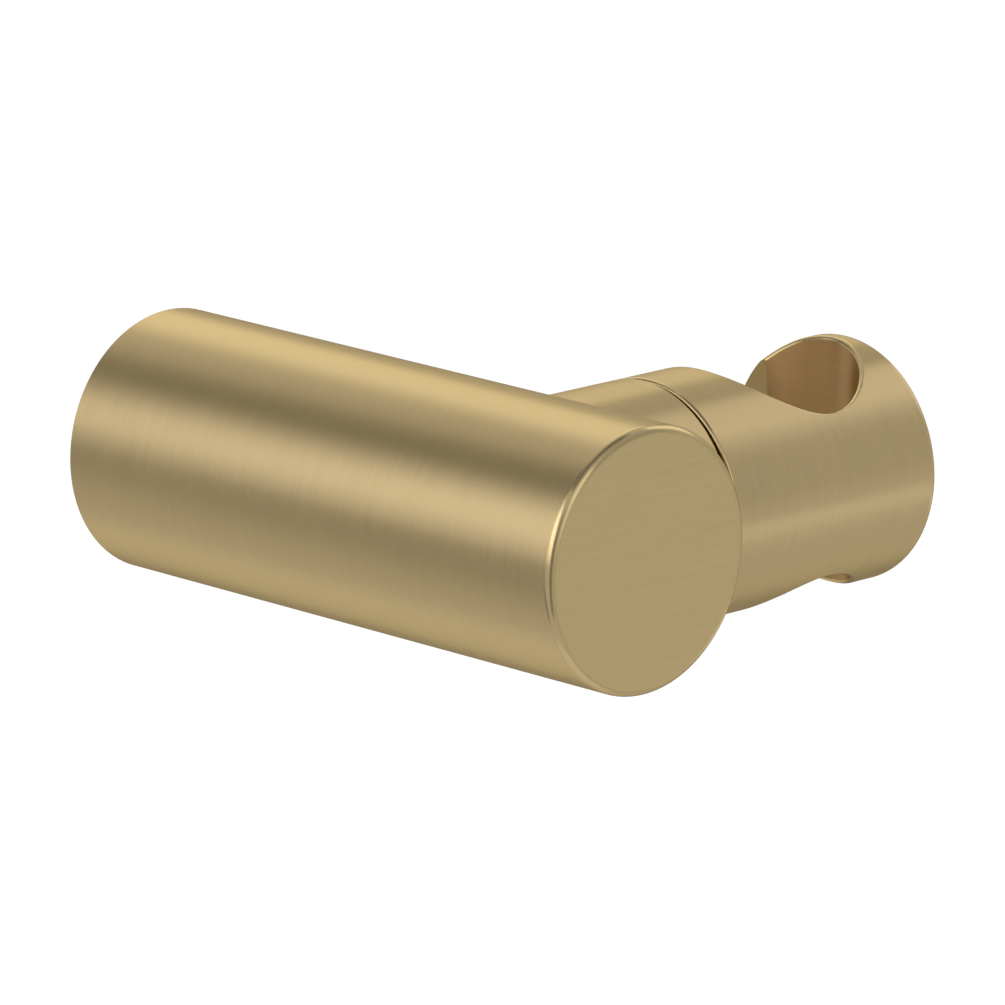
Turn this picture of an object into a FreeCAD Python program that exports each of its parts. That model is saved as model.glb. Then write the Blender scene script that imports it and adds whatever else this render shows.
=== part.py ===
import FreeCAD, Part
import math
import os

from FreeCAD import Vector

# Hand shower holder with a friction swivel. All sizes are in millimetres.
#
# The origin is the centre of the wall face and +Z is up. The round body stands out from the wall along -Y,
# and the arm leaves it along +X. The holder at the end of the arm turns about the arm's axis. A depth is
# measured from the wall along the body, and a reach from the body's axis along the arm.

# Body
body_radius = 16.0
body_length = 82.0
front_round = 1.0
boss_bore_wall = 2.5
boss_bore_lead = 0.5
core_radius = 10.0
core_web = 7.3

# Arm, stub and holder
arm_setback = 19.7
arm_radius = 15.0
stub_length = 2.6
swivel_gap = 0.7
holder_start_round = 0.45
holder_end_round = 1.0
holder_end_wall = 2.69

# Cradle: a tapered hole whose plan is two arcs of one radius joined by straight walls, open towards the wall
cradle_inset = 20.21
cradle_offset = 0.5
cradle_slide = 3.95
cradle_top_radius = 11.5
cradle_taper_deg = 1.8
cradle_rim_round = 0.45
mouth_step = 1.45
cut_overrun = 2.0

# Spigot of the stub, in its socket in the body
cope_land = 4.05
socket_clearance = 0.05
socket_end_wall = 8.0
spigot_end_gap = 0.3
spigot_wall = 2.45
stub_web = 4.8
spigot_ring_reach = 8.0
spigot_ring_width = 1.6
spigot_ring_groove = 1.05

# Wall boss, its two rubber rings and the groove for the clamp screw
boss_clearance = 0.05
boss_length = 20.0
boss_end_gap = 4.0
boss_wall = 2.45
boss_base = 4.0
boss_lead = 0.5
wall_hole_radius = 2.25
wall_hole_spacing = 13.0
boss_ring_width = 1.6
boss_ring_groove = 1.2
boss_ring_rear_land = 0.6
boss_ring_front_land = 2.8
clamp_depth = 10.9
clamp_groove = 1.0

# Set screws, both with a hexagon socket and a 90 degree cone point
thread_clearance = 0.05
clamp_screw_radius = 2.0
clamp_screw_recess = 0.4
clamp_socket_across = 2.0
clamp_socket_depth = 1.2
hub_screw_radius = 3.0
hub_screw_recess = 0.5
hub_socket_across = 3.0
hub_socket_depth = 3.0
hub_dimple = 1.0
cone_point_gap = 0.05

# Pivot bolt
shoulder_radius = 4.0
shoulder_seat = 1.0
pivot_thread_radius = 3.0
pivot_thread_runout = 0.4
pivot_thread_end_wall = 1.8
bolt_head_height = 4.0
bolt_socket_across = 5.0
bolt_socket_depth = 2.5
bolt_flat_across = 6.6

# Bush, washers, springs and rings of the swivel
running_clearance = 0.03
washer_clearance = 0.15
turning_clearance = 0.3
still_edge_clearance = 0.3
turning_edge_clearance = 0.5
bush_wall = 1.5
bush_flange = 1.0
friction_washer = 1.0
pressure_washer = 1.5
spring_count = 4
spring_thickness = 0.8
spring_rise = 0.25
head_washer = 1.0
head_washer_edge_clearance = 1.0
head_washer_overhang = 1.0
seal_ring_land = 1.4
seal_ring_width = 1.4
seal_ring_recess = 1.0
seal_ring_gap = 0.1
thrust_ring_land = 1.2
thrust_ring_recess = 1.0
thrust_ring_bore_clearance = 0.47

# Places along the body and sizes about its axis
arm_depth = body_length - arm_setback
boss_bore_radius = body_radius - boss_bore_wall
boss_bore_depth = boss_length + boss_end_gap
boss_radius = boss_bore_radius - boss_clearance
boss_ring_floor = boss_radius - boss_ring_groove
boss_rear_ring_depth = boss_base + boss_ring_rear_land
boss_front_ring_depth = boss_length - boss_ring_front_land - boss_ring_width

# Places along the arm and sizes about its axis
spigot_radius = arm_radius - cope_land
socket_radius = spigot_radius + socket_clearance
socket_end_reach = socket_end_wall - body_radius
stub_bore_radius = spigot_radius - spigot_wall
core_depth = arm_depth - socket_radius - core_web
stub_reach = body_radius + stub_length
web_reach = stub_reach - stub_web
holder_start = stub_reach + swivel_gap
cradle_reach = holder_start + cradle_inset
holder_reach = cradle_reach + cradle_top_radius + holder_end_wall
mouth_half_width = cradle_top_radius - mouth_step
cradle_slope = math.tan(math.radians(cradle_taper_deg))

# Places and sizes in the swivel
bush_radius = shoulder_radius + running_clearance + bush_wall
still_radius = stub_bore_radius - still_edge_clearance
turning_radius = stub_bore_radius - turning_edge_clearance
head_washer_radius = stub_bore_radius - head_washer_edge_clearance
bolt_head_radius = head_washer_radius - head_washer_overhang
washer_bore = shoulder_radius + washer_clearance
friction_face = web_reach - bush_flange - friction_washer
spring_face = friction_face - pressure_washer
spring_height = spring_thickness + spring_rise
head_washer_face = spring_face - spring_count * spring_height
bolt_head_face = head_washer_face - head_washer
shoulder_end = holder_start + shoulder_seat
thread_hole_end = cradle_reach - (cradle_top_radius - arm_radius * cradle_slope) - pivot_thread_end_wall
seal_ring_radius = arm_radius - seal_ring_land
thrust_ring_radius = seal_ring_radius - seal_ring_width - thrust_ring_land
thrust_ring_bore = bush_radius + thrust_ring_bore_clearance

WALL_AXIS = Vector(0, -1, 0)
ARM_AXIS = Vector(1, 0, 0)
UP = Vector(0, 0, 1)
ARM_CENTRE = Vector(0, -arm_depth, 0)


def turned(outline, centre, axis, side):
    """Turn an outline of (distance along axis, radius) points about the axis, starting from one side."""
    points = [centre + axis * along + side * radius for along, radius in outline]
    face = Part.Face(Part.makePolygon(points + points[:1]))
    return face.revolve(centre, axis, 360)


def turned_body(outline):
    """A piece turned about the body's axis, given by (depth from the wall, radius)."""
    return turned(outline, Vector(0, 0, 0), WALL_AXIS, UP)


def turned_arm(outline):
    """A piece turned about the arm's axis, given by (reach from the body's axis, radius)."""
    return turned(outline, ARM_CENTRE, ARM_AXIS, WALL_AXIS)


def tube(turn, start, end, outer, inner):
    """A plain ring from start to end along the axis of the given turning function."""
    return turn([(start, inner), (start, outer), (end, outer), (end, inner)])


def rod(turn, start, end, radius):
    """A plain round bar from start to end along the axis of the given turning function."""
    return turn([(start, 0), (start, radius), (end, radius), (end, 0)])


def hexagon(centre, axis, side, across, length):
    """A hexagonal bar with the given size across its flats."""
    corner = across / math.sqrt(3)
    other = axis.cross(side)
    points = []
    for k in range(6):
        angle = math.radians(60 * k)
        points.append(centre + side * (corner * math.cos(angle)) + other * (corner * math.sin(angle)))
    return Part.Face(Part.makePolygon(points + points[:1])).extrude(axis * length)


def cone_point(tip, axis, radius):
    """A 90 degree cone with its tip at the given point, widening along axis up to the given radius."""
    return Part.makeCone(0, radius, radius, tip, axis)


def set_screw(tip, axis, radius, length, across, socket_depth):
    """A set screw from its cone point at tip to the hexagon socket in its other end."""
    shank = Part.makeCylinder(radius, length - radius, tip + axis * radius, axis)
    socket = hexagon(tip + axis * (length - socket_depth), axis, ARM_AXIS, across, socket_depth)
    return shank.fuse(cone_point(tip, axis, radius)).removeSplitter().cut(socket)


def circle_edges(solid, radius, along, axis):
    """The circular edges of the given radius at one place along an axis."""
    found = []
    for edge in solid.Edges:
        if isinstance(edge.Curve, Part.Circle):
            centre = edge.Curve.Center
            if abs(edge.Curve.Radius - radius) < 1e-6 and abs(centre.dot(axis) - along) < 1e-6:
                found.append(edge)
    return found


def clamp_screw_tip():
    """The place of the clamp screw's point, just outside the bottom of the groove in the boss."""
    return Vector(0, -clamp_depth, clamp_groove - cone_point_gap - boss_radius)


def hub_screw_tip():
    """The place of the hub screw's point, in its dimple in the spigot."""
    return Vector(0, spigot_radius - hub_dimple + cone_point_gap - arm_depth, 0)


def make_body():
    """Round bar, bored from the wall for the boss, with a lead-in, and from the side for the spigot."""
    body = rod(turned_body, 0, body_length, body_radius)
    body = body.makeFillet(front_round, circle_edges(body, body_radius, body_length, WALL_AXIS))
    bore = turned_body([
        (0, 0),
        (0, boss_bore_radius + boss_bore_lead),
        (boss_bore_lead, boss_bore_radius),
        (boss_bore_depth, boss_bore_radius),
        (boss_bore_depth, core_radius),
        (core_depth, core_radius),
        (core_depth, 0),
    ])
    socket = rod(turned_arm, socket_end_reach, body_radius, socket_radius)
    hub_hole = Part.makeCylinder(hub_screw_radius + thread_clearance, arm_depth - core_depth,
                                 Vector(0, -core_depth, 0), WALL_AXIS)
    clamp_hole = Part.makeCylinder(clamp_screw_radius + thread_clearance, body_radius,
                                   Vector(0, -clamp_depth, 0), UP * -1)
    return body.cut(bore).cut(socket).cut(hub_hole).cut(clamp_hole)


def make_wall_boss():
    """Turned cup with two screw holes in its base, two ring grooves and a groove for the clamp screw."""
    boss = turned_body([
        (0, 0),
        (0, boss_radius),
        (boss_length - boss_lead, boss_radius),
        (boss_length, boss_radius - boss_lead),
        (boss_length, boss_radius - boss_wall),
        (boss_base, boss_radius - boss_wall),
        (boss_base, 0),
    ])
    for depth in (boss_rear_ring_depth, boss_front_ring_depth):
        boss = boss.cut(make_boss_ring(depth))
    groove = turned_body([
        (clamp_depth, boss_radius - clamp_groove),
        (clamp_depth - 2 * clamp_groove, boss_radius + clamp_groove),
        (clamp_depth + 2 * clamp_groove, boss_radius + clamp_groove),
    ])
    boss = boss.cut(groove)
    for side in (-1, 1):
        start = Vector(0, 0, side * wall_hole_spacing / 2)
        boss = boss.cut(Part.makeCylinder(wall_hole_radius, boss_base, start, WALL_AXIS))
    return boss


def make_boss_ring(depth):
    """Flat rubber ring between its groove in the boss and the body's bore."""
    return tube(turned_body, depth, depth + boss_ring_width, boss_bore_radius, boss_ring_floor)


def make_clamp_screw():
    """Set screw through the underside of the body, recessed under its surface."""
    tip = clamp_screw_tip()
    length = body_radius - clamp_screw_recess + tip.z
    return set_screw(tip, UP * -1, clamp_screw_radius, length, clamp_socket_across, clamp_socket_depth)


def make_hub_screw():
    """Set screw in the web behind the core, reached through the body's bore."""
    tip = hub_screw_tip()
    length = -tip.y - core_depth - hub_screw_recess
    return set_screw(tip, WALL_AXIS * -1, hub_screw_radius, length, hub_socket_across, hub_socket_depth)


def make_arm_stub():
    """Stub with a coped end that seats on the body, a spigot in the body's socket and a web for the pivot."""
    arm = rod(turned_arm, 0, stub_reach, arm_radius).cut(rod(turned_body, 0, body_length, body_radius))
    spigot = rod(turned_arm, socket_end_reach + spigot_end_gap, web_reach, spigot_radius)
    stub = arm.fuse(spigot).removeSplitter()
    recesses = [
        rod(turned_arm, socket_end_reach, web_reach, stub_bore_radius),
        rod(turned_arm, web_reach, stub_reach, bush_radius),
        rod(turned_arm, stub_reach - thrust_ring_recess, stub_reach, thrust_ring_radius),
        make_seal_ring(),
        make_spigot_ring(),
        cone_point(hub_screw_tip() + WALL_AXIS * cone_point_gap, WALL_AXIS * -1, hub_screw_radius),
    ]
    for recess in recesses:
        stub = stub.cut(recess)
    return stub


def make_spigot_ring():
    """Rubber ring between its groove in the spigot and the body's socket."""
    end = spigot_ring_reach + spigot_ring_width
    return tube(turned_arm, spigot_ring_reach, end, socket_radius, spigot_radius - spigot_ring_groove)


def make_pivot_bush():
    """Flanged bush through the stub's web, its flange on the inner side."""
    bore = shoulder_radius + running_clearance
    return turned_arm([
        (web_reach - bush_flange, bore),
        (web_reach - bush_flange, still_radius),
        (web_reach, still_radius),
        (web_reach, bush_radius),
        (stub_reach - thrust_ring_recess, bush_radius),
        (stub_reach - thrust_ring_recess, bore),
    ])


def make_thrust_ring():
    """Plastic ring in the stub's end that stands out by the gap and bears on the holder."""
    start = stub_reach - thrust_ring_recess
    return tube(turned_arm, start, holder_start, thrust_ring_radius, thrust_ring_bore)


def make_seal_ring():
    """Rubber ring in the stub's end face that nearly fills the gap to the holder."""
    end = holder_start - seal_ring_gap
    inner = seal_ring_radius - seal_ring_width
    return tube(turned_arm, stub_reach - seal_ring_recess, end, seal_ring_radius, inner)


def make_friction_washer():
    """Plastic washer under the bush's flange, clear of the turning bolt."""
    bore = shoulder_radius + turning_clearance
    return tube(turned_arm, friction_face, friction_face + friction_washer, still_radius, bore)


def flatted_rod(start, end, radius, across):
    """A round bar about the arm's axis with two flats, above and below."""
    bar = rod(turned_arm, start, end, radius)
    width = 2 * radius
    slab = Part.makeBox(end - start, width, across, ARM_CENTRE + Vector(start, -radius, -across / 2))
    return bar.common(slab)


def make_pressure_washer():
    """Steel washer whose flatted hole makes it turn with the bolt."""
    disc = rod(turned_arm, spring_face, friction_face, turning_radius)
    hole = flatted_rod(spring_face, friction_face, washer_bore, bolt_flat_across + 2 * washer_clearance)
    return disc.cut(hole)


def make_disc_spring(index):
    """Conical spring washer, facing the other way from its neighbour, so that rims and bores meet in turn."""
    start = head_washer_face + index * spring_height
    inner = start + (spring_rise if index % 2 else 0)
    outer = start + (0 if index % 2 else spring_rise)
    return turned_arm([
        (inner, washer_bore),
        (outer, turning_radius),
        (outer + spring_thickness, turning_radius),
        (inner + spring_thickness, washer_bore),
    ])


def make_head_washer():
    """Hard flat washer between the springs and the bolt's head."""
    return tube(turned_arm, bolt_head_face, head_washer_face, head_washer_radius, washer_bore)


def make_pivot_bolt():
    """Shoulder screw with a socket head, flats under the springs and a thread in the holder."""
    head_start = bolt_head_face - bolt_head_height
    bolt = turned_arm([
        (head_start, 0),
        (head_start, bolt_head_radius),
        (bolt_head_face, bolt_head_radius),
        (bolt_head_face, shoulder_radius),
        (shoulder_end, shoulder_radius),
        (shoulder_end, pivot_thread_radius),
        (thread_hole_end - pivot_thread_runout, pivot_thread_radius),
        (thread_hole_end - pivot_thread_runout, 0),
    ])
    full = rod(turned_arm, bolt_head_face, friction_face, shoulder_radius)
    flats = full.cut(flatted_rod(bolt_head_face, friction_face, shoulder_radius, bolt_flat_across))
    socket = hexagon(ARM_CENTRE + ARM_AXIS * head_start, ARM_AXIS, UP, bolt_socket_across, bolt_socket_depth)
    return bolt.cut(flats).cut(socket)


def cradle_cutter():
    """The space in the cradle: a tapered hole slid towards the wall, with flat walls between its two ends."""
    top = arm_radius + cut_overrun
    top_radius = cradle_top_radius + cut_overrun * cradle_slope
    bottom_radius = top_radius - 2 * top * cradle_slope
    centre = Vector(cradle_reach, cradle_offset - arm_depth, -top)
    slide = Vector(0, cradle_slide, 0)
    front = Part.makeCone(bottom_radius, top_radius, 2 * top, centre, UP)
    back = Part.makeCone(bottom_radius, top_radius, 2 * top, centre + slide, UP)
    section = [(-bottom_radius, 0), (bottom_radius, 0), (top_radius, 2 * top), (-top_radius, 2 * top)]
    points = [centre + Vector(across, 0, height) for across, height in section]
    middle = Part.Face(Part.makePolygon(points + points[:1])).extrude(slide)
    return front.fuse([back, middle]).removeSplitter()


def mouth_cutter():
    """The space of the mouth, with flat sides, from the middle of the slid hole out past the holder."""
    top = arm_radius + cut_overrun
    start = cradle_offset + cradle_slide
    corner = Vector(cradle_reach - mouth_half_width, start - arm_depth, -top)
    return Part.makeBox(2 * mouth_half_width, top - start, 2 * top, corner)


def rim_edges(solid):
    """The edges where the cradle's hole meets the holder's round side, without the mouth's circular edges."""
    found = []
    for edge in solid.Edges:
        if isinstance(edge.Curve, Part.Circle):
            continue
        first, last = edge.ParameterRange
        points = [edge.valueAt(first + (last - first) * k / 4) for k in range(5)]
        on_side = all(abs(math.hypot(p.y + arm_depth, p.z) - arm_radius) < 1e-3 for p in points)
        near_hole = all(abs(p.x - cradle_reach) < cradle_top_radius + 1e-3 for p in points)
        if on_side and near_hole:
            found.append(edge)
    return found


def make_holder():
    """Turned head with the cradle cut through it from above and a threaded seat for the pivot bolt."""
    holder = rod(turned_arm, holder_start, holder_reach, arm_radius)
    holder = holder.makeFillet(holder_start_round, circle_edges(holder, arm_radius, holder_start, ARM_AXIS))
    holder = holder.makeFillet(holder_end_round, circle_edges(holder, arm_radius, holder_reach, ARM_AXIS))
    holder = holder.cut(cradle_cutter()).cut(mouth_cutter())
    holder = holder.makeFillet(cradle_rim_round, rim_edges(holder))
    seat = turned_arm([
        (holder_start, 0),
        (holder_start, shoulder_radius + thread_clearance),
        (shoulder_end, shoulder_radius + thread_clearance),
        (shoulder_end, pivot_thread_radius + thread_clearance),
        (thread_hole_end, pivot_thread_radius + thread_clearance),
        (thread_hole_end, 0),
    ])
    return holder.cut(seat)


def make_pieces():
    """Every piece of the holder by the name of its node."""
    pieces = {
        "body": make_body(),
        "arm_stub": make_arm_stub(),
        "hub_screw": make_hub_screw(),
        "spigot_ring": make_spigot_ring(),
        "wall_boss": make_wall_boss(),
        "boss_ring_rear": make_boss_ring(boss_rear_ring_depth),
        "boss_ring_front": make_boss_ring(boss_front_ring_depth),
        "clamp_screw": make_clamp_screw(),
        "pivot_bush": make_pivot_bush(),
        "thrust_ring": make_thrust_ring(),
        "seal_ring": make_seal_ring(),
        "friction_washer": make_friction_washer(),
        "pressure_washer": make_pressure_washer(),
        "head_washer": make_head_washer(),
        "pivot_bolt": make_pivot_bolt(),
        "holder": make_holder(),
    }
    for index in range(spring_count):
        pieces[f"disc_spring_{index + 1}"] = make_disc_spring(index)
    return pieces


def main():
    """Write each piece to its own STEP file."""
    os.makedirs("parts", exist_ok=True)
    for name, shape in make_pieces().items():
        solid = shape.Solids[0] if len(shape.Solids) == 1 else shape
        if not solid.isValid():
            raise ValueError(f"{name} isn't a valid solid")
        solid.exportStep(f"parts/{name}.step")
        print(name, len(shape.Solids), "solid,", round(solid.Volume, 1), "mm3")


main()
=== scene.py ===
import math

import bpy
import numpy as np
from mathutils import Matrix, Vector


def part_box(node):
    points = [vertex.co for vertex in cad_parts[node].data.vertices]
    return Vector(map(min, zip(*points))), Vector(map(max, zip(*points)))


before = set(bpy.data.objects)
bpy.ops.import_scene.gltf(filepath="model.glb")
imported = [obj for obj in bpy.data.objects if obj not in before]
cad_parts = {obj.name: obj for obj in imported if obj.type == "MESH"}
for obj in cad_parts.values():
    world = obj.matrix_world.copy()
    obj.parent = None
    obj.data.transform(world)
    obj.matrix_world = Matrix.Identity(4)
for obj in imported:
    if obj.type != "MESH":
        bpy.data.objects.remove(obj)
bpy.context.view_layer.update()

MM = 0.001

# Camera

# A long lens, well back, in front of the holder, to its left and a little above it
CAMERA_AIM = Vector((20.595, -36.844, -4.823)) * MM
CAMERA_AZIMUTH = -44.419
CAMERA_ELEVATION = 14.179
CAMERA_ROLL = 0.31
CAMERA_DISTANCE = 1116 * MM
CAMERA_LENS = 332.89
CAMERA_SENSOR = 36.0
CAMERA_NEAR = 0.01
CAMERA_FAR = 50.0

# Studio

# The holder hangs on its wall at the height of a hand above the head
FLOOR_DROP = 1.80
FLOOR_RADIUS = 16.0
FLOOR_POINTS = 97
# The floor's glow makes up what its dull paint lacks to white
FLOOR_GLOW = 0.35

# The room is white where it is seen, and lights dull surfaces a little less
ROOM_SEEN = 1.0
ROOM_LIGHT = 0.8

# A grey light tent stands round the holder and is open on the far side, where the white room shows
TENT_RADIUS = 1.75
TENT_LIGHT = 0.751
TENT_OPENING = 22.0
TENT_AZIMUTH = 135.6
TENT_ELEVATION = -14.2
TENT_RINGS = 39
TENT_POINTS = 73

# Softboxes and cards stand round the holder. Each row is the direction from the holder as azimuth and
# elevation in degrees, width and height in metres, brightness with 1 as white, and turn in degrees. A
# softbox's brightness comes on top of the tent's, and a card covers what stands behind it.
SOFTBOX_DISTANCE = 1.60
SOFTBOXES = {
    "softbox_back_right": (149.9, 27.5, 0.78, 1.28, 0.87, 36),
    "softbox_back_left": (-118.0, 23.2, 1.37, 1.14, 0.75, -58),
    "softbox_right": (83.1, 32.5, 0.95, 0.87, 0.84, 19),
    "softbox_low_front": (60.5, -22.8, 2.72, 0.16, 0.68, -14),
    "softbox_low_back": (178.5, -48.6, 1.15, 0.51, 0.25, -4),
    "softbox_left": (-85.2, 22.5, 0.88, 1.79, 1.45, 53),
    "softbox_front": (-1.6, 20.2, 0.66, 2.00, 0.64, 25),
}
CARD_DISTANCE = 1.50
CARDS = {
    "card_back": (-152.1, 38.0, 0.65, 1.68, 0.25, -13),
    "card_low_left": (-124.9, -18.3, 0.49, 1.79, 0.30, 39),
    "card_right": (118.8, 19.1, 0.22, 2.31, 0.59, 34),
    "card_low_right": (133.3, -19.5, 1.65, 1.38, 0.26, 9),
    "card_front": (34.3, 24.4, 1.09, 1.50, 0.58, -11),
    "card_camera": (-40.1, -2.1, 0.73, 2.03, 0.26, 13),
    "card_above": (-24.9, 81.3, 2.20, 1.06, 0.26, 26),
    "card_below": (-18.7, -75.4, 1.88, 1.27, 0.95, 26),
}

# Places that the finishes follow, read from the parts in model.glb
BODY_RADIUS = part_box("body")[1].z
ARM_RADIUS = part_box("holder")[1].z
ARM_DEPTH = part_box("holder")[0].y + ARM_RADIUS

# Radii of the edges, as the CAD rounds them. A sharp edge counts as a very small round.
FRONT_ROUND = 1.0 * MM
GAP_ROUND = 0.45 * MM
RIM_ROUND = 0.5 * MM
SHARP = 0.02 * MM

# The round side is within the first depth of the full radius, and an end is within the second of its plane
SIDE_DEPTH = 0.04 * MM
END_DEPTH = 0.1 * MM

# Lean is 0 where the surface runs along the bar and 1 where it lies across it. The round side fades out
# between the first two values, the border of a flat comes in from the third, and the fourth is flat.
SIDE_LEAN = 0.04
ROUND_LEAN = 0.16
BORDER_LEAN = 0.94
FLAT_LEAN = 0.9998

# Brushing

# The real strokes are about 0.05 mm wide. They are drawn three times as wide, so that they show.
STROKE_WIDTH = 0.15 * MM
STROKE_LENGTH = 3 * MM
STROKE_RELIEF = 0.02 * MM
STROKE_STRENGTH = 0.03
# Where the belt bore harder, strokes run together into faint streaks
STREAK_WIDTH = 0.6 * MM
STREAK_LENGTH = 10 * MM
STREAK_SHARE = 0.6
# Highlights are drawn out across the strokes by this much, from 0 to 1
STRETCH = 0.75

# Roughness of the brushed gold: from the finer strokes to the coarser, on the edges and in the holes
ROUGH_FINE = 0.30
ROUGH_COARSE = 0.34
ROUGH_EDGE = 0.21
ROUGH_HOLE = 0.40

# Noise seldom leaves this range, so tones run over it
NOISE_LOW = 0.3
NOISE_HIGH = 0.7

# Feed of the lathe tool on the boss. The real feed is about 0.1 mm and is drawn twice as wide.
TURNING_FEED = 0.2 * MM


def colour(text):
    """An sRGB hex value as linear RGBA."""
    parts = [int(text[k:k + 2], 16) / 255 for k in (1, 3, 5)]
    return [c / 12.92 if c <= 0.04045 else ((c + 0.055) / 1.055) ** 2.4 for c in parts] + [1.0]


def add(tree, kind, inputs=None, **settings):
    """One node with its settings, and its inputs linked to sockets or set to values."""
    node = tree.nodes.new(kind)
    for name, value in settings.items():
        setattr(node, name, value)
    for socket, source in (inputs or {}).items():
        if isinstance(source, bpy.types.NodeSocket):
            tree.links.new(source, node.inputs[socket])
        else:
            node.inputs[socket].default_value = source
    return node


def new_material(name):
    """An empty node material and its tree."""
    material = bpy.data.materials.new(name)
    material.use_nodes = True
    material.node_tree.nodes.clear()
    return material, material.node_tree


# Finishes


def brushed_gold(node, axis, on_axis, radius, low_round, high_round):
    """Brass with a gold coat laid in vacuum over brushed metal. The belt ran round the bar, so each light
    draws out into a soft band along it. Flat ends are brushed straight, from side to side, and their colour
    is made a touch darker. The rounds of the edges are buffed smoother and catch crisp lines of light. Holes
    are left coarser, and their colour is darkened and browned as painted shade and painted reflection."""
    material, tree = new_material("brushed_gold_" + node)
    axis, across_end = Vector(axis), (0, 0, 1)
    low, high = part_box(node)
    middle = Vector(on_axis) + axis * axis.dot(low + high) / 2
    half_length = axis.dot(high - low) / 2

    # Where a point lies: distance along the bar from its middle, and reach from its axis
    place = add(tree, "ShaderNodeTexCoord")
    offset = add(tree, "ShaderNodeVectorMath", {0: place.outputs["Object"], 1: middle},
                 operation="SUBTRACT").outputs[0]
    along = add(tree, "ShaderNodeVectorMath", {0: offset, 1: axis}, operation="DOT_PRODUCT").outputs["Value"]
    off_middle = add(tree, "ShaderNodeMath", {0: along}, operation="ABSOLUTE").outputs[0]
    radial = add(tree, "ShaderNodeVectorMath", {0: offset, 1: Vector((1, 1, 1)) - axis},
                 operation="MULTIPLY").outputs[0]
    reach = add(tree, "ShaderNodeVectorMath", {0: radial}, operation="LENGTH").outputs["Value"]
    facing = add(tree, "ShaderNodeVectorMath", {0: place.outputs["Normal"], 1: axis},
                 operation="DOT_PRODUCT")
    lean = add(tree, "ShaderNodeMath", {0: facing.outputs["Value"]}, operation="ABSOLUTE").outputs[0]

    # The core is the bar less its rounds, which differ at the two ends and at the rim of the cradle
    at_high = add(tree, "ShaderNodeMath", {0: along, 1: 0.0}, operation="GREATER_THAN").outputs[0]
    end_round = add(tree, "ShaderNodeMix", {"Factor": at_high, 2: low_round, 3: high_round},
                    data_type="FLOAT").outputs[0]
    core_half = add(tree, "ShaderNodeMath", {0: half_length, 1: end_round}, operation="SUBTRACT").outputs[0]
    near_end = add(tree, "ShaderNodeMath", {0: off_middle, 1: core_half},
                   operation="GREATER_THAN").outputs[0]
    depth = add(tree, "ShaderNodeMix", {"Factor": near_end, 2: RIM_ROUND, 3: end_round},
                data_type="FLOAT").outputs[0]
    core_reach = add(tree, "ShaderNodeMath", {0: radius, 1: depth}, operation="SUBTRACT").outputs[0]

    # Masks of the round side, the inner surfaces, the holes among these, and the edges between. A flat wall
    # lies across the bar away from its ends. The border of an end's flat is no edge yet and stays as coarse
    # as the flat, so that no line of light stands round it.
    outer = add(tree, "ShaderNodeMath", {0: reach, 1: radius - SIDE_DEPTH},
                operation="GREATER_THAN").outputs[0]
    upright = add(tree, "ShaderNodeMapRange", {"Value": lean, "From Min": SIDE_LEAN, "From Max": ROUND_LEAN,
                                               "To Min": 1.0, "To Max": 0.0}).outputs[0]
    side = add(tree, "ShaderNodeMath", {0: outer, 1: upright}, operation="MULTIPLY").outputs[0]
    within = add(tree, "ShaderNodeMath", {0: reach, 1: core_reach}, operation="LESS_THAN").outputs[0]
    flat = add(tree, "ShaderNodeMath", {0: lean, 1: FLAT_LEAN}, operation="GREATER_THAN").outputs[0]
    flat_wall = add(tree, "ShaderNodeMath", {0: flat, 1: near_end},
                    operation="SUBTRACT", use_clamp=True).outputs[0]
    inner = add(tree, "ShaderNodeMath", {0: within, 1: flat_wall}, operation="MAXIMUM").outputs[0]
    end = add(tree, "ShaderNodeMath", {0: off_middle, 1: half_length - END_DEPTH},
              operation="GREATER_THAN").outputs[0]
    brushed_flat = add(tree, "ShaderNodeMath", {0: end, 1: flat_wall}, operation="MAXIMUM").outputs[0]
    hole = add(tree, "ShaderNodeMath", {0: inner, 1: brushed_flat},
               operation="SUBTRACT", use_clamp=True).outputs[0]
    off_side = add(tree, "ShaderNodeMath", {0: 1.0, 1: side}, operation="SUBTRACT").outputs[0]
    off_flat = add(tree, "ShaderNodeMath", {0: off_side, 1: inner},
                   operation="SUBTRACT", use_clamp=True).outputs[0]
    turning = add(tree, "ShaderNodeMapRange", {"Value": lean, "From Min": BORDER_LEAN,
                                               "From Max": 1.0}).outputs[0]
    border = add(tree, "ShaderNodeMath", {0: turning, 1: near_end}, operation="MULTIPLY").outputs[0]
    edge = add(tree, "ShaderNodeMath", {0: off_flat, 1: border},
               operation="SUBTRACT", use_clamp=True).outputs[0]

    def strokes(width, length, detail):
        """Noise drawn out along the strokes, by one scale on the round side and another on inner surfaces."""
        round_scale = [1 / width if a else 1 / length for a in axis]
        inner_scale = [1 / width if a else 1 / length for a in across_end]
        scale = add(tree, "ShaderNodeMix", {"Factor": inner, 4: round_scale, 5: inner_scale},
                    data_type="VECTOR")
        drawn_out = add(tree, "ShaderNodeVectorMath", {0: place.outputs["Object"], 1: scale.outputs[1]},
                        operation="MULTIPLY")
        return add(tree, "ShaderNodeTexNoise", {"Vector": drawn_out.outputs[0], "Scale": 1.0,
                                                "Detail": detail, "Roughness": 0.6}).outputs["Fac"]

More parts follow.
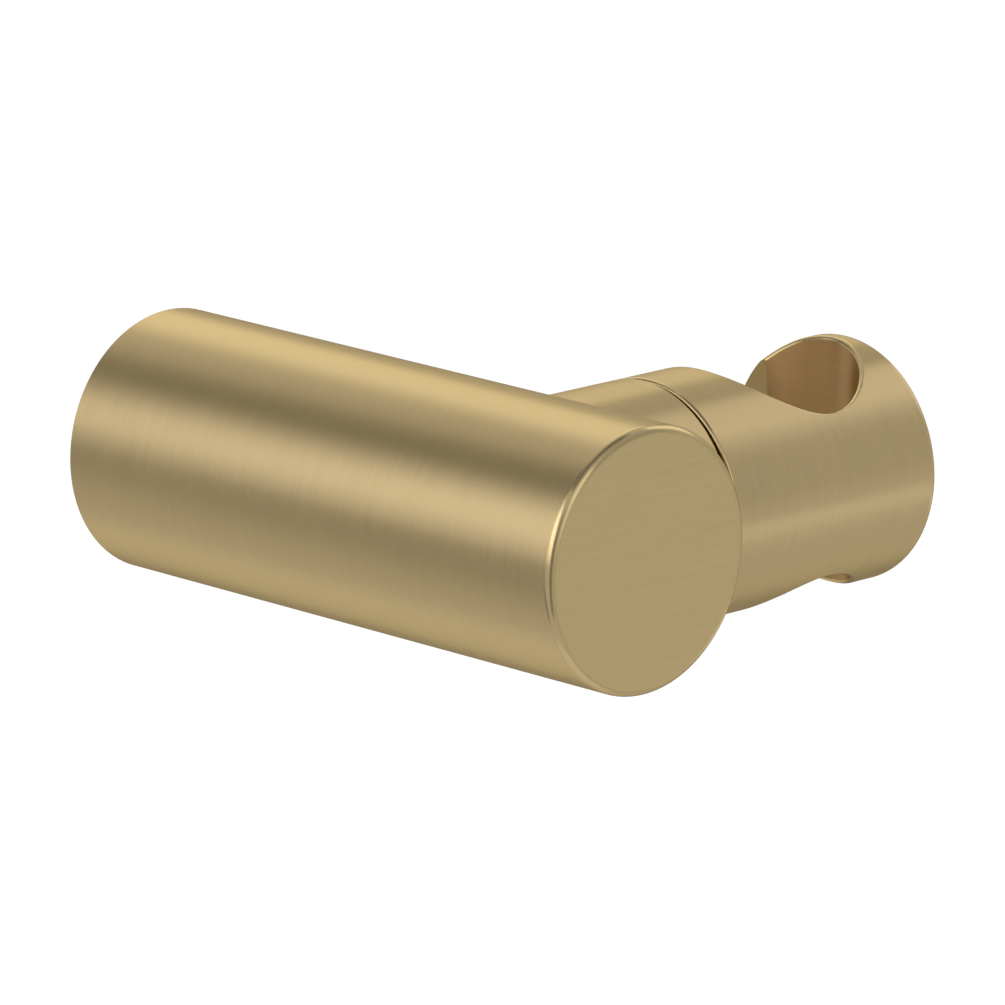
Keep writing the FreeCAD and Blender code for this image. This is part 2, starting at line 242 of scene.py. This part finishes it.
    # Tone and roughness follow the strokes together
    fine = strokes(STROKE_WIDTH, STROKE_LENGTH, 1.0)
    streak = strokes(STREAK_WIDTH, STREAK_LENGTH, 2.0)
    mixed = add(tree, "ShaderNodeMix", {"Factor": STREAK_SHARE, 2: fine, 3: streak},
                data_type="FLOAT").outputs[0]
    coat = add(tree, "ShaderNodeValToRGB", {"Fac": mixed})
    coat.color_ramp.elements[0].position = NOISE_LOW
    coat.color_ramp.elements[0].color = colour("#BAA57B")
    coat.color_ramp.elements[1].position = NOISE_HIGH
    coat.color_ramp.elements[1].color = colour("#C2AC80")
    # Inside the holes the colour is painted darker and browner: painted shade and painted reflection of the
    # gold walls in each other
    hole_painted_shade = add(tree, "ShaderNodeMix", {"Factor": hole, 6: coat.outputs["Color"], 7: colour("#E5D4C6")},
                  data_type="RGBA", blend_type="MULTIPLY").outputs[2]
    # The flat ends and flat walls are made a touch darker in colour
    tone = add(tree, "ShaderNodeMix", {"Factor": brushed_flat, 6: hole_painted_shade, 7: colour("#F7F8F3")},
               data_type="RGBA", blend_type="MULTIPLY").outputs[2]
    grain = add(tree, "ShaderNodeMapRange", {"Value": mixed, "From Min": NOISE_LOW, "From Max": NOISE_HIGH,
                                             "To Min": ROUGH_FINE, "To Max": ROUGH_COARSE}).outputs[0]
    buffed = add(tree, "ShaderNodeMix", {"Factor": edge, 2: grain, 3: ROUGH_EDGE},
                 data_type="FLOAT").outputs[0]
    rough = add(tree, "ShaderNodeMix", {"Factor": hole, 2: buffed, 3: ROUGH_HOLE},
                data_type="FLOAT").outputs[0]

    # The round side and the rounds at the ends take their normal from the nearest point of the core, so that
    # the seam and the facets of the mesh don't show
    outward = add(tree, "ShaderNodeVectorMath", {0: radial}, operation="NORMALIZE").outputs[0]
    above = add(tree, "ShaderNodeMath", {0: reach, 1: core_reach}, operation="SUBTRACT").outputs[0]
    rise = add(tree, "ShaderNodeVectorMath", {0: outward, "Scale": above}, operation="SCALE").outputs[0]
    beyond = add(tree, "ShaderNodeMath", {0: off_middle, 1: core_half}, operation="SUBTRACT").outputs[0]
    over_end = add(tree, "ShaderNodeMath", {0: beyond, 1: 0.0}, operation="MAXIMUM").outputs[0]
    direction = add(tree, "ShaderNodeMath", {0: along}, operation="SIGN").outputs[0]
    signed = add(tree, "ShaderNodeMath", {0: over_end, 1: direction}, operation="MULTIPLY").outputs[0]
    run = add(tree, "ShaderNodeVectorMath", {0: axis, "Scale": signed}, operation="SCALE").outputs[0]
    from_core = add(tree, "ShaderNodeVectorMath", {0: rise, 1: run}, operation="ADD").outputs[0]
    exact = add(tree, "ShaderNodeVectorMath", {0: from_core}, operation="NORMALIZE").outputs[0]
    end_edge = add(tree, "ShaderNodeMath", {0: near_end, 1: inner},
                   operation="SUBTRACT", use_clamp=True).outputs[0]
    skin = add(tree, "ShaderNodeMath", {0: side, 1: end_edge}, operation="MAXIMUM").outputs[0]
    normal = add(tree, "ShaderNodeMix", {"Factor": skin, 4: place.outputs["Normal"], 5: exact},
                 data_type="VECTOR")
    world_normal = add(tree, "ShaderNodeVectorTransform", {"Vector": normal.outputs[1]},
                       vector_type="NORMAL", convert_from="OBJECT", convert_to="WORLD")
    bump = add(tree, "ShaderNodeBump", {"Height": fine, "Strength": STROKE_STRENGTH,
                                        "Distance": STROKE_RELIEF, "Normal": world_normal.outputs[0]})

    # The tangent points across the strokes, the way that highlights are drawn out
    tangent = add(tree, "ShaderNodeMix", {"Factor": inner, 4: axis, 5: across_end}, data_type="VECTOR")
    world_tangent = add(tree, "ShaderNodeVectorTransform", {"Vector": tangent.outputs[1]},
                        vector_type="VECTOR", convert_from="OBJECT", convert_to="WORLD")
    shader = add(tree, "ShaderNodeBsdfPrincipled", {
        "Base Color": tone, "Metallic": 1.0, "Roughness": rough, "Anisotropic": STRETCH,
        "Specular Tint": colour("#EFE4C7"), "Tangent": world_tangent.outputs[0],
        "Normal": bump.outputs["Normal"]})
    add(tree, "ShaderNodeOutputMaterial", {"Surface": shader.outputs["BSDF"]})
    return material


def dress_by_noise(tree, noise, metallic, dark, light, smooth, coarse, strength, relief):
    """Noise shifts the tone from dark to light and the roughness from smooth to coarse, and stands up by the
    relief times the strength."""
    tone = add(tree, "ShaderNodeValToRGB", {"Fac": noise})
    tone.color_ramp.elements[0].position = NOISE_LOW
    tone.color_ramp.elements[0].color = colour(dark)
    tone.color_ramp.elements[1].position = NOISE_HIGH
    tone.color_ramp.elements[1].color = colour(light)
    rough = add(tree, "ShaderNodeMapRange", {"Value": noise, "To Min": smooth, "To Max": coarse})
    bump = add(tree, "ShaderNodeBump", {"Height": noise, "Strength": strength, "Distance": relief})
    shader = add(tree, "ShaderNodeBsdfPrincipled", {
        "Base Color": tone.outputs["Color"], "Metallic": metallic, "Roughness": rough.outputs[0],
        "Normal": bump.outputs["Normal"]})
    add(tree, "ShaderNodeOutputMaterial", {"Surface": shader.outputs["BSDF"]})


def turned_brass():
    """Bare brass of the boss. The lathe tool left fine rings about the wall axis, so the yellow metal
    carries thin lines and a satin sheen."""
    material, tree = new_material("turned_brass")
    place = add(tree, "ShaderNodeTexCoord")
    parts = add(tree, "ShaderNodeSeparateXYZ", {"Vector": place.outputs["Object"]})
    radial = add(tree, "ShaderNodeVectorMath", {0: place.outputs["Object"], 1: (1, 0, 1)},
                 operation="MULTIPLY")
    reach = add(tree, "ShaderNodeVectorMath", {0: radial.outputs[0]}, operation="LENGTH").outputs["Value"]
    position = add(tree, "ShaderNodeCombineXYZ", {"X": reach, "Y": parts.outputs["Y"]})
    rings = add(tree, "ShaderNodeTexNoise", {"Vector": position.outputs[0], "Scale": 1 / TURNING_FEED,
                                             "Detail": 2.0})
    dress_by_noise(tree, rings.outputs["Fac"], metallic=1.0, dark="#C0A364", light="#CDB274",
                   smooth=0.22, coarse=0.36, strength=0.2, relief=0.02 * MM)
    return material


def grained(name, metallic, dark, light, grain, smooth, coarse, relief):
    """A finish without direction, from noise of the given grain, which is the size that its real marks are
    taken to have."""
    material, tree = new_material(name)
    place = add(tree, "ShaderNodeTexCoord")
    noise = add(tree, "ShaderNodeTexNoise", {"Vector": place.outputs["Object"], "Scale": 1 / grain,
                                             "Detail": 3.0})
    dress_by_noise(tree, noise.outputs["Fac"], metallic, dark, light, smooth, coarse,
                   strength=0.3, relief=relief)
    return material


# Camera, floor and lights


def make_camera():
    """Aim the camera by azimuth, elevation and roll, from its distance behind the aim point."""
    turn = (Matrix.Rotation(math.radians(CAMERA_AZIMUTH), 3, "Z")
            @ Matrix.Rotation(math.radians(90 - CAMERA_ELEVATION), 3, "X")
            @ Matrix.Rotation(math.radians(CAMERA_ROLL), 3, "Z"))
    camera = bpy.data.objects.new("camera", bpy.data.cameras.new("camera"))
    camera.data.lens = CAMERA_LENS
    camera.data.sensor_width = CAMERA_SENSOR
    camera.data.clip_start = CAMERA_NEAR
    camera.data.clip_end = CAMERA_FAR
    camera.matrix_world = Matrix.Translation(CAMERA_AIM + turn.col[2] * CAMERA_DISTANCE) @ turn.to_4x4()
    bpy.context.scene.collection.objects.link(camera)
    bpy.context.scene.camera = camera


def stand(azimuth, elevation, turn=0.0):
    """Axes of a panel that faces the holder from a direction, as columns: its width, height and back."""
    a, e = math.radians(azimuth), math.radians(elevation)
    back = Vector((math.sin(a) * math.cos(e), -math.cos(a) * math.cos(e), math.sin(e)))
    wide = Vector((math.cos(a), math.sin(a), 0.0))
    axes = Matrix((wide, back.cross(wide), back)).transposed()
    return axes @ Matrix.Rotation(math.radians(turn), 3, "Z")


def make_softbox(name, azimuth, elevation, width, height, brightness, turn):
    """A rectangular lamp that faces the holder. Its power is brightness times pi times its area."""
    lamp = bpy.data.lights.new(name, "AREA")
    lamp.shape = "RECTANGLE"
    lamp.size = width
    lamp.size_y = height
    lamp.energy = brightness * math.pi * width * height
    softbox = bpy.data.objects.new(name, lamp)
    axes = stand(azimuth, elevation, turn)
    softbox.matrix_world = Matrix.Translation(CAMERA_AIM + axes.col[2] * SOFTBOX_DISTANCE) @ axes.to_4x4()
    softbox.visible_camera = False
    bpy.context.scene.collection.objects.link(softbox)


def glowing(name, brightness):
    """Cloth or card that glows evenly at the given brightness."""
    material, tree = new_material(name)
    glow = add(tree, "ShaderNodeEmission", {"Strength": brightness})
    add(tree, "ShaderNodeOutputMaterial", {"Surface": glow.outputs["Emission"]})
    material.cycles.emission_sampling = "NONE"
    return material


def make_studio_surface(name, points, material):
    """A grid of points made a mesh that stands out of the camera's sight."""
    rows, columns = points.shape[:2]
    corner = np.arange(rows * columns).reshape(rows, columns)
    faces = np.stack([corner[:-1, :-1], corner[1:, :-1], corner[1:, 1:], corner[:-1, 1:]], axis=-1)
    mesh = bpy.data.meshes.new(name)
    mesh.from_pydata(points.reshape(-1, 3).tolist(), [], faces.reshape(-1, 4).tolist())
    mesh.materials.append(material)
    surface = bpy.data.objects.new(name, mesh)
    bpy.context.scene.collection.objects.link(surface)
    surface.visible_camera = False
    return surface


def make_card(name, azimuth, elevation, width, height, brightness, turn):
    """A card: the point at its direction and distance plus u times its width plus v times its height, with u
    and v from -0.5 to 0.5."""
    axes = stand(azimuth, elevation, turn)
    u, v = np.meshgrid([-0.5, 0.5], [-0.5, 0.5])
    points = (np.array(CAMERA_AIM + axes.col[2] * CARD_DISTANCE)
              + u[..., None] * width * np.array(axes.col[0])
              + v[..., None] * height * np.array(axes.col[1]))
    make_studio_surface(name, points, glowing(name + "_grey", brightness))


def make_tent():
    """Part of a sphere about the holder: radius times (sine of t times cosine of p, sine of t times sine of
    p, cosine of t) in the axes of its opening, with t from the opening's half angle to 180 degrees and p all
    round."""
    axes = np.array(stand(TENT_AZIMUTH, TENT_ELEVATION))
    t, p = np.meshgrid(np.radians(np.linspace(TENT_OPENING, 180, TENT_RINGS)),
                       np.radians(np.linspace(0, 360, TENT_POINTS)), indexing="ij")
    local = np.stack([np.sin(t) * np.cos(p), np.sin(t) * np.sin(p), np.cos(t)], axis=-1)
    points = np.array(CAMERA_AIM) + TENT_RADIUS * local @ axes.T
    make_studio_surface("tent", points, glowing("tent_cloth", TENT_LIGHT))


def seen_white(tree, seen_at, elsewhere):
    """One brightness for what the camera, glossy surfaces and clear ones see, and another for light on dull
    ones."""
    path = add(tree, "ShaderNodeLightPath")
    glossy = add(tree, "ShaderNodeMath", {0: path.outputs["Is Camera Ray"], 1: path.outputs["Is Glossy Ray"]},
                 operation="MAXIMUM")
    seen = add(tree, "ShaderNodeMath", {0: glossy.outputs[0], 1: path.outputs["Is Transmission Ray"]},
               operation="MAXIMUM")
    return add(tree, "ShaderNodeMapRange", {"Value": seen.outputs[0], "To Min": elsewhere,
                                            "To Max": seen_at}).outputs[0]


def make_floor():
    """A pale floor, a disc far below: radius times s times (cosine of t, sine of t), with s from 0 to 1 and t
    all round. It glows in part where it is seen, so that it is as white as the room, and its dull part keeps
    the holder's shadow."""
    t = np.radians(np.linspace(0, 360, FLOOR_POINTS))
    points = np.stack([np.outer([0, 1], np.cos(t)), np.outer([0, 1], np.sin(t)),
                       np.zeros((2, FLOOR_POINTS))], axis=-1)
    material, tree = new_material("white_floor_paint")
    dull = add(tree, "ShaderNodeBsdfDiffuse", {"Color": colour("#F2F2F2")})
    glow = add(tree, "ShaderNodeEmission", {"Strength": seen_white(tree, FLOOR_GLOW, 0.0)})
    both = add(tree, "ShaderNodeAddShader", {0: dull.outputs[0], 1: glow.outputs[0]})
    add(tree, "ShaderNodeOutputMaterial", {"Surface": both.outputs[0]})
    floor = make_studio_surface("floor", points * FLOOR_RADIUS - np.array([0, 0, FLOOR_DROP]), material)
    floor.visible_camera = True


def make_world():
    """A white room to the eye, and even grey light on dull surfaces."""
    world = bpy.data.worlds.new("white_room")
    bpy.context.scene.world = world
    world.use_nodes = True
    tree = world.node_tree
    tree.nodes.clear()
    back = add(tree, "ShaderNodeBackground", {"Color": (1, 1, 1, 1),
                                              "Strength": seen_white(tree, ROOM_SEEN, ROOM_LIGHT)})
    add(tree, "ShaderNodeOutputWorld", {"Surface": back.outputs[0]})


# The brushed pieces: axis, a point on it, radius, and the rounds at the low and the high end
FINISHES = {
    "body": brushed_gold("body", (0, 1, 0), (0, 0, 0), BODY_RADIUS, FRONT_ROUND, SHARP),
    "arm_stub": brushed_gold("arm_stub", (1, 0, 0), (0, ARM_DEPTH, 0), ARM_RADIUS, SHARP, SHARP),
    "holder": brushed_gold("holder", (1, 0, 0), (0, ARM_DEPTH, 0), ARM_RADIUS, GAP_ROUND, FRONT_ROUND),
}
SLOT_FINISHES = {
    "turned_brass": turned_brass(),
    # Tumbled after pressing and turning, so it is a soft grey with a faint warm cast and no clear reflections
    "stainless_steel": grained("tumbled_stainless_steel", metallic=1.0, dark="#A9A6A0", light="#BBB8B1",
                               grain=0.2 * MM, smooth=0.28, coarse=0.40, relief=0.01 * MM),
    # Moulded rubber is nearly black, with a dry, grainy sheen
    "black_rubber": grained("moulded_nitrile_rubber", metallic=0.0, dark="#151515", light="#1F1F1F",
                            grain=0.12 * MM, smooth=0.50, coarse=0.64, relief=0.02 * MM),
    # Acetal is a hard, slippery plastic: black with a cool cast and a broad, waxy highlight
    "acetal": grained("machined_acetal", metallic=0.0, dark="#1B1B1D", light="#252527",
                      grain=0.15 * MM, smooth=0.34, coarse=0.44, relief=0.01 * MM),
}


def dress():
    """Give every node its finish."""
    for name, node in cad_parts.items():
        slot = node.data.materials[0].name
        node.data.materials[0] = FINISHES.get(name) or SLOT_FINISHES[slot]


dress()
make_camera()
make_floor()
make_world()
make_tent()
for name, row in SOFTBOXES.items():
    make_softbox(name, *row)
for name, row in CARDS.items():
    make_card(name, *row)

bpy.context.scene.view_settings.view_transform = "Standard"
